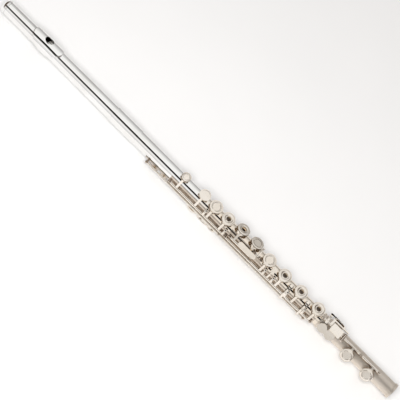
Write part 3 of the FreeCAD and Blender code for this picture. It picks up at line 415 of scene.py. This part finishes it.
def wires(node):
    """Each straight wire in a node, as its two ends along the tube and its y and z."""
    found = corners(node)
    spans = []
    for point in found:
        for span in spans:
            low, high = span[0]
            same_line = max(abs(point[1] - span[1]), abs(point[2] - span[2])) < WIRE_REACH
            if same_line and low - WIRE_LENGTH < point[0] < high + WIRE_LENGTH:
                span[0] = [min(low, point[0]), max(high, point[0])]
                break
        else:
            spans.append([[point[0], point[0]], point[1], point[2]])
    return spans


def add_springs():
    """Tapered needles in place of the plain spring wires."""
    for node in ("body_springs", "foot_springs"):
        shapes = []
        for (low, high), y, z in wires(node):
            shapes.append(needle(Vector((low, y, z)), Vector((high, y, z)), WIRE_RADIUS))
        piece = add_mesh(f"{node}_needles", *merged(shapes), "spring_wire", BODY_OF[node], "spring_wire")
        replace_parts(piece, node)


CORK_HOLE = 1.55


def add_cork():
    """The head cork, with bevelled ends and a pitted side."""
    low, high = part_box("stopper_cork")
    radius = (high.y - low.y) / 2 / MM
    length = (high.x - low.x) / MM
    half_profile = [(CORK_HOLE, 0), (radius - 0.5, 0), (radius - 0.12, 0.5), (radius, 1.6)]
    other_half = [(r, length - h) for r, h in reversed(half_profile)]
    profile = half_profile + [(radius - 0.06, length / 2)] + other_half

    def pits(step, r, _):
        return -0.07 * MM * ((step * 7919) % 11) / 10 if r > 5 * MM else 0.0

    shape = turned_shape(scaled(profile), Vector((low.x, 0, 0)), Vector((1, 0, 0)), 72, pits)
    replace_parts(add_mesh("cork_bung", *shape, "cork", "stopper", "cork"), "stopper_cork")


# ---------------------------------------------------------------- head joint


CROWN_BORE = 1.6
CROWN_PLUG = 8.38


def add_crown():
    """The crown: a plug in the tube, a milled rim and a stepped dome."""
    low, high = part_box("crown")
    rim = (high.y - low.y) / 2 / MM
    length = (high.x - low.x) / MM
    plug = [(CROWN_BORE, length), (CROWN_PLUG - 0.08, length), (CROWN_PLUG, length - 0.2),
            (CROWN_PLUG, length - 5.9), (rim - 0.5, length - 5.95)]
    edge = [(rim - 0.12, length - 6.1), (rim, length - 6.4), (rim, length - 7.5), (rim - 0.15, length - 7.85),
            (rim - 0.55, length - 8.0), (rim - 0.85, length - 8.1)]
    dome = [(rim - 0.8, 4.6), (rim - 1.4, 3.3), (rim - 2.7, 1.9), (rim - 4.6, 0.85), (rim - 6.9, 0.18),
            (1.3, 0.0), (0, 0.0)]
    profile = plug + edge + dome + [(0, 3.0), (CROWN_BORE, 3.0)]
    milled = (length - 7.6) * MM, (length - 6.3) * MM

    def mill(step, _, height):
        return -0.13 * MM if step % 2 and milled[0] < height < milled[1] else 0.0

    shape = turned_shape(scaled(profile), Vector((low.x, 0, 0)), Vector((1, 0, 0)), 144, mill)
    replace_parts(add_mesh("crown_knob", *shape, "silver_tube", "crown", "silver_tube"), "crown")


# The lip plate's curve: its radius and centre, its metal, and how far down it wraps on each side.
LIP_RADIUS, LIP_Y, LIP_Z = 11.3 * MM, -1.5 * MM, 2.0 * MM
LIP_WALL = 0.85 * MM
LIP_SKIRT = math.radians(105)
# Above 1, the plate's ends are more oval and less square.
RIM_TAPER = 1.25
# Half of the embouchure hole along and across the tube.
HOLE_HALF = (6.1 * MM, 5.15 * MM)


def lip_point(along, angle, depth):
    """A place on the lip plate: how far along, the angle around its curve, and how deep in it."""
    radius = LIP_RADIUS - depth
    return Vector((along, LIP_Y - radius * math.sin(angle), LIP_Z + radius * math.cos(angle)))


def add_lip_plate():
    """The lip plate as rings from the embouchure's edge out to its rolled rim and back beneath."""
    low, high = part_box("lip_plate")
    middle = (low.x + high.x) / 2
    half = (high.x - low.x) / 2
    steps = 144
    # How far out from the hole to the rim, and how deep in the metal, along a ring of the plate.
    depths = [(0.0, 0.62), (0.0, 0.12), (0.025, 0.02), (0.06, 0.0), (0.2, 0.0), (0.4, 0.0), (0.6, 0.0),
              (0.8, 0.0), (0.93, 0.0), (0.975, 0.04), (0.995, 0.22), (1.0, 0.5), (0.99, 0.85),
              (0.95, 1.0), (0.7, 1.0), (0.35, 1.0), (0.06, 1.0)]
    points = []
    for out, depth in depths:
        for step in range(steps):
            turn = math.tau * step / steps
            c, s = math.cos(turn), math.sin(turn)
            hole_angle = math.asin((HOLE_HALF[1] * s + LIP_Y) / LIP_RADIUS)
            hole = Vector((HOLE_HALF[0] * c, hole_angle))
            rim = Vector((half * c, LIP_SKIRT * math.copysign(abs(s) ** RIM_TAPER, s)))
            place = hole.lerp(rim, out)
            points.append(lip_point(middle + place.x, place.y, LIP_WALL * depth))
    faces = []
    rows = len(depths)
    for row in range(rows):
        for step in range(steps):
            following, below = (step + 1) % steps, (row + 1) % rows
            faces.append((row * steps + step, row * steps + following,
                          below * steps + following, below * steps + step))
    piece = add_mesh("lip_plate_shell", points, faces, "silver_tube", "head_joint", "silver_tube")
    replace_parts(piece, "lip_plate")


# ---------------------------------------------------------------- small fittings


def slotted_head(centre, axis, radius, height):
    """A screw head: a base and two halves with the driver's slot between them."""
    r, h = radius / MM, height / MM
    shapes = [turned_shape(scaled([(0, 0), (r, 0), (r, h * 0.5), (0, h * 0.5)]), centre, axis, 24)]
    axis = axis.normalized()
    side = axis.orthogonal().normalized()
    other = axis.cross(side)
    for sign in (-1, 1):
        start = math.asin(0.2)
        arc = [start + (math.pi - 2 * start) * step / 10 for step in range(11)]
        outline = [(math.cos(angle), math.sin(angle) * sign) for angle in arc]
        points = []
        for level, shrink in ((0.5, 1.0), (0.9, 1.0), (1.0, 0.9)):
            for u, v in outline:
                points.append(centre + axis * height * level + (side * u + other * v) * radius * shrink)
        count = len(outline)
        faces = [tuple(range(2 * count, 3 * count)), tuple(reversed(range(count)))]
        for level in (0, 1):
            for step in range(count):
                following = (step + 1) % count
                faces.append((level * count + step, level * count + following,
                              (level + 1) * count + following, (level + 1) * count + step))
        shapes.append((points, faces))
    return merged(shapes)


def steel_ends(line, node, reach):
    """How far the metal of a node runs along one rod line."""
    found = corners(node)
    near = np.hypot(found[:, 1] - line.y, found[:, 2] - line.z) < reach
    return float(found[near, 0].min()), float(found[near, 0].max())


def add_pivot_screws():
    """A slotted head on both ends of every steel."""
    shapes = []
    for body in ("a_key", "g_key", "g_sharp_key", "thumb_b_key"):
        line = ROD_LINES[body]
        for x, way in zip(steel_ends(line, "body_steels", 1.2 * MM), (-1, 1)):
            end, outward = Vector((x, line.y, line.z)), Vector((way, 0, 0))
            shapes.append(slotted_head(end, outward, 1.0 * MM, 0.5 * MM))
    add_mesh("pivot_screws", *merged(shapes), "screw_steel", "body_joint", "rod_steel")


def around(rho, phi, x):
    """A point from millimetres and degrees: distance from the bore's axis, and turn to the player."""
    angle = math.radians(phi)
    return Vector((x, -rho * math.sin(angle), rho * math.cos(angle))) * MM


def place_of(point):
    """The (rho, phi) of a point, in millimetres and degrees."""
    return math.hypot(point.y, point.z) / MM, math.degrees(math.atan2(-point.y, point.z))


def strap_shape(stations, thickness):
    """A strap through stations of (x, rho, phi, half width), its edges rounded off."""
    points = []
    section = [(-1.0, -0.2), (-0.8, -0.5), (0.8, -0.5), (1.0, -0.2),
               (1.0, 0.2), (0.8, 0.5), (-0.8, 0.5), (-1.0, 0.2)]
    for x, rho, phi, half in stations:
        for u, v in section:
            points.append(around(rho + v * thickness, phi, x + u * half))
    count = len(section)
    faces = [tuple(range(count)), tuple(reversed(range(len(points) - count, len(points))))]
    for row in range(len(stations) - 1):
        for step in range(count):
            following = (step + 1) % count
            faces.append((row * count + following, row * count + step,
                          (row + 1) * count + step, (row + 1) * count + following))
    return points, faces


# Which way along the tube each key's clutch lies from its cup.
CLUTCHES = {"e_key": -1, "d_key": -1, "f_key": -1, "f_sharp_key": 1, "a_key": 1, "b_flat_key": -1}
# How far from its cup's centre a clutch lies, and its room from the hinge tube's ends, in millimetres.
CLUTCH_FROM_CUP = 11.2
CLUTCH_ROOM = 2.0
# How far around the tube from its rod an adjusting screw is, in degrees.
SCREW_TURN = 35
# Along a lug from its hinge tube to its tip: rise over the rod, degrees around the tube, half width.
LUG_STATIONS = [(0.6, 0, 1.7), (1.5, 6, 1.6), (1.7, 16, 1.35), (1.4, 27, 1.3), (0.9, 36, 1.9), (0.8, 41, 1.2)]


def add_clutches():
    """Each finger key's clutch: a lug up from its hinge tube with an adjusting screw through it."""
    for body, way in CLUTCHES.items():
        line = ROD_LINES[body]
        rho, phi = place_of(line)
        cup = discs(f"{body}_pad")[0]
        span = steel_ends(line, body, 1.8 * MM)
        x = cup[0].x / MM + way * CLUTCH_FROM_CUP
        x = max(min(x, span[1] / MM - CLUTCH_ROOM), span[0] / MM + CLUTCH_ROOM)
        stations = [(x, rho + rise, phi - turn, half) for rise, turn, half in LUG_STATIONS]
        add_mesh(f"{body}_clutch", *strap_shape(stations, 1.1), "key_silver", body, "key_silver")
        seat = around(rho + 1.2, phi - SCREW_TURN, x)
        out = around(1.0, phi - SCREW_TURN, 0).normalized()
        add_mesh(f"{body}_adjusting_screw", *slotted_head(seat, out, 0.95 * MM, 1.0 * MM),
                 "screw_steel", body, "rod_steel")
        under = around(rho - 0.45, phi - SCREW_TURN, x)
        cushion = turned_shape(scaled([(0, 0), (1.2, 0), (1.2, 0.7), (0, 0.7)]), under, out, 20)
        add_mesh(f"{body}_clutch_felt", *cushion, "felt", body, "cork")


def add_trill_buttons():
    """Low domes on the two trill touches."""
    for body in ("d_trill_key", "d_sharp_trill_key"):
        found = corners(body)
        rho = np.hypot(found[:, 1], found[:, 2])
        phi = np.degrees(np.arctan2(-found[:, 1], found[:, 2]))
        top = found[(rho > 17.9 * MM) & (phi < 40) & (phi > 0)]
        centre = Vector((top.min(axis=0) + top.max(axis=0)) / 2)
        out = Vector((0, centre.y, centre.z)).normalized()
        profile = [(0, -0.3), (3.25, -0.3), (3.32, 0.05), (3.1, 0.35), (2.4, 0.62), (1.3, 0.8), (0, 0.86)]
        shape = turned_shape(scaled(profile), centre, out, 40)
        add_mesh(f"{body}_button", *shape, "key_silver", body, "key_silver")


PIN_HOLE = 0.66


def add_roller():
    """The low C roller, with a bead at each end and fine turned lines."""
    low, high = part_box("low_c_roller")
    centre = (low + high) / 2
    found = corners("low_c_roller") - np.array(centre)
    axis = Vector(np.linalg.svd(found, full_matrices=False)[2][0])
    half = float(np.abs(found @ np.array(axis)).max()) / MM
    radius = float(np.linalg.norm(np.cross(found, np.array(axis)), axis=1).max()) / MM
    profile = [(PIN_HOLE, -half), (radius - 0.5, -half), (radius - 0.1, -half + 0.25),
               (radius - 0.1, -half + 0.8), (radius - 0.4, -half + 1.0), (radius - 0.35, -half + 1.25),
               (radius, -half + 1.5)]
    profile += [(radius, 0)] + [(r, -h) for r, h in reversed(profile)]
    shape = turned_shape(scaled(profile), centre, axis, 40)
    piece = add_mesh("roller_barrel", *shape, "roller_silver", "low_c_roller", "roller_silver")
    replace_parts(piece, "low_c_roller")


def soften_edges():
    """Break the sharp edges of the machined CAD nodes, so that they catch the light."""
    for name, item in frame["nodes"].items():
        if SLOTS[name] not in ("key_silver", "foot_silver", "rib_silver", "silver_tube"):
            continue
        bevel = item.modifiers.new("edge_break", "BEVEL")
        bevel.width = 0.12 * MM
        bevel.segments = 2
        bevel.limit_method = "ANGLE"
        bevel.angle_limit = math.radians(50)


add_pads()
add_springs()
add_cork()
add_crown()
add_lip_plate()
add_pivot_screws()
add_clutches()
add_trill_buttons()
add_roller()
soften_edges()


# ---------------------------------------------------------------- stage, light and camera

# The camera leans this far from straight above to the player's side. VIEW_WIDTH is the width that
# it sees at the flute. Distances are in metres.
CAMERA_LEAN = math.radians(34.8)
CAMERA_DISTANCE = 2.2
VIEW_WIDTH = 0.4932
SENSOR_MM = 36.0
VIEW_CENTRE_X = -0.3344
AXIS_OFFSET = -0.0006
LAMP_DISTANCE = 2.0
CARD_BEHIND = 0.15


def view_axes():
    """The photograph's view: the tube runs to the lower right, its far side to the upper right."""
    along = Vector((1.0, 0.0, 0.0))
    across = Vector((0.0, math.cos(CAMERA_LEAN), math.sin(CAMERA_LEAN)))
    return along, across, along.cross(across)


def add_camera():
    """The camera at the photograph's angle, with the tube on the frame's diagonal."""
    along, across, towards = view_axes()
    right = (along + across).normalized()
    up = (across - along).normalized()
    target = Vector((VIEW_CENTRE_X, 0.0, 0.0)) + across * AXIS_OFFSET
    data = bpy.data.cameras.new("photo_camera")
    data.sensor_width = SENSOR_MM
    data.lens = SENSOR_MM * CAMERA_DISTANCE / VIEW_WIDTH
    data.clip_start = 0.01
    camera = bpy.data.objects.new("photo_camera", data)
    turn = Matrix((right, up, towards)).transposed().to_4x4()
    camera.matrix_world = Matrix.Translation(target + towards * CAMERA_DISTANCE) @ turn
    SCENE.collection.objects.link(camera)
    SCENE.camera = camera


def add_floor():
    """A plain pale floor that the flute lies on."""
    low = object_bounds()[0][2]
    mesh = bpy.data.meshes.new("floor")
    reach = 3.0
    edge = [(-reach, -reach, low), (reach, -reach, low), (reach, reach, low), (-reach, reach, low)]
    mesh.from_pydata(edge, [], [(0, 1, 2, 3)])
    floor = bpy.data.objects.new("floor", mesh)
    material, shader = new_material("pale_floor", (0.93, 0.93, 0.93), 0.8)
    grain = object_noise(material, 6.0)
    tint = colour_mix(material, grain.outputs["Fac"], (0.93, 0.93, 0.93), (0.915, 0.915, 0.915))
    material.node_tree.links.new(tint, shader.inputs["Base Color"])
    mesh.materials.append(material)
    SCENE.collection.objects.link(floor)


def add_world():
    """A light tent: white over the flute, grey behind it, and warm darkness beyond its two ends."""
    world = bpy.data.worlds.new("tent")
    world.use_nodes = True
    nodes, links = world.node_tree.nodes, world.node_tree.links
    coordinates = nodes.new("ShaderNodeTexCoord")
    split = nodes.new("ShaderNodeSeparateXYZ")
    links.new(coordinates.outputs["Generated"], split.inputs["Vector"])

    def ramp(source, stops):
        made = nodes.new("ShaderNodeValToRGB")
        for element, (position, colour) in zip(made.color_ramp.elements, stops):
            element.position, element.color = position, colour
        links.new(source, made.inputs["Fac"])
        return made.outputs["Color"]

    def arithmetic(operation, first, second):
        made = nodes.new("ShaderNodeMath")
        made.operation = operation
        for index, value in enumerate((first, second)):
            if isinstance(value, (int, float)):
                made.inputs[index].default_value = value
            else:
                links.new(value, made.inputs[index])
        return made.outputs["Value"]

    # Lowest at the far side's horizon, and highest overhead, a little to the player's side.
    lean = arithmetic("SUBTRACT", split.outputs["Z"], arithmetic("MULTIPLY", split.outputs["Y"], 0.35))
    sky = ramp(lean, ((0.0, (0.44, 0.432, 0.425, 1)), (0.85, (0.97, 0.965, 0.955, 1))))
    ends = arithmetic("ABSOLUTE", split.outputs["X"], 0.0)
    mask = ramp(ends, ((0.32, (0, 0, 0, 1)), (0.55, (1, 1, 1, 1))))
    mix = nodes.new("ShaderNodeMix")
    mix.data_type = "RGBA"
    links.new(mask, mix.inputs["Factor"])
    links.new(sky, mix.inputs[FIRST_COLOUR])
    mix.inputs[SECOND_COLOUR].default_value = (0.085, 0.052, 0.03, 1)
    links.new(mix.outputs[MIXED_COLOUR], nodes["Background"].inputs["Color"])
    nodes["Background"].inputs["Strength"].default_value = 1.0
    SCENE.world = world


def add_black_card():
    """A long dark card behind the camera, which the polished tube reflects as a thin line."""
    along, across, towards = view_axes()
    centre = Vector((VIEW_CENTRE_X, 0, 0)) + towards * (CAMERA_DISTANCE + CARD_BEHIND)
    half_long, half_wide = 1.6, 0.50
    edge = [centre + along * (a * half_long) + across * (b * half_wide)
            for a, b in ((-1, -1), (1, -1), (1, 1), (-1, 1))]
    mesh = bpy.data.meshes.new("black_card")
    mesh.from_pydata([tuple(point) for point in edge], [], [(0, 1, 2, 3)])
    card = bpy.data.objects.new("black_card", mesh)
    black, worn = (0.010, 0.010, 0.010), (0.014, 0.014, 0.014)
    mesh.materials.append(coated("card_black", black, worn, 0.9, 40.0, 0.0002))
    SCENE.collection.objects.link(card)


def add_lamp(name, place, size, power):
    """A soft lamp that lights the floor, but is not itself mirrored in the silver."""
    data = bpy.data.lights.new(name, "AREA")
    data.shape = "SQUARE"
    data.size = size
    data.energy = power
    lamp = bpy.data.objects.new(name, data)
    lamp.location = place
    aim = Vector((VIEW_CENTRE_X, 0, 0)) - Vector(place)
    lamp.rotation_euler = aim.to_track_quat("-Z", "Y").to_euler()
    lamp.visible_glossy = False
    SCENE.collection.objects.link(lamp)


add_floor()
add_world()
add_black_card()
add_camera()
add_lamp("key_lamp", Vector((VIEW_CENTRE_X, 0, 0)) + view_axes()[2] * LAMP_DISTANCE, 0.8, 37.0)
SCENE.view_settings.view_transform = "Standard"
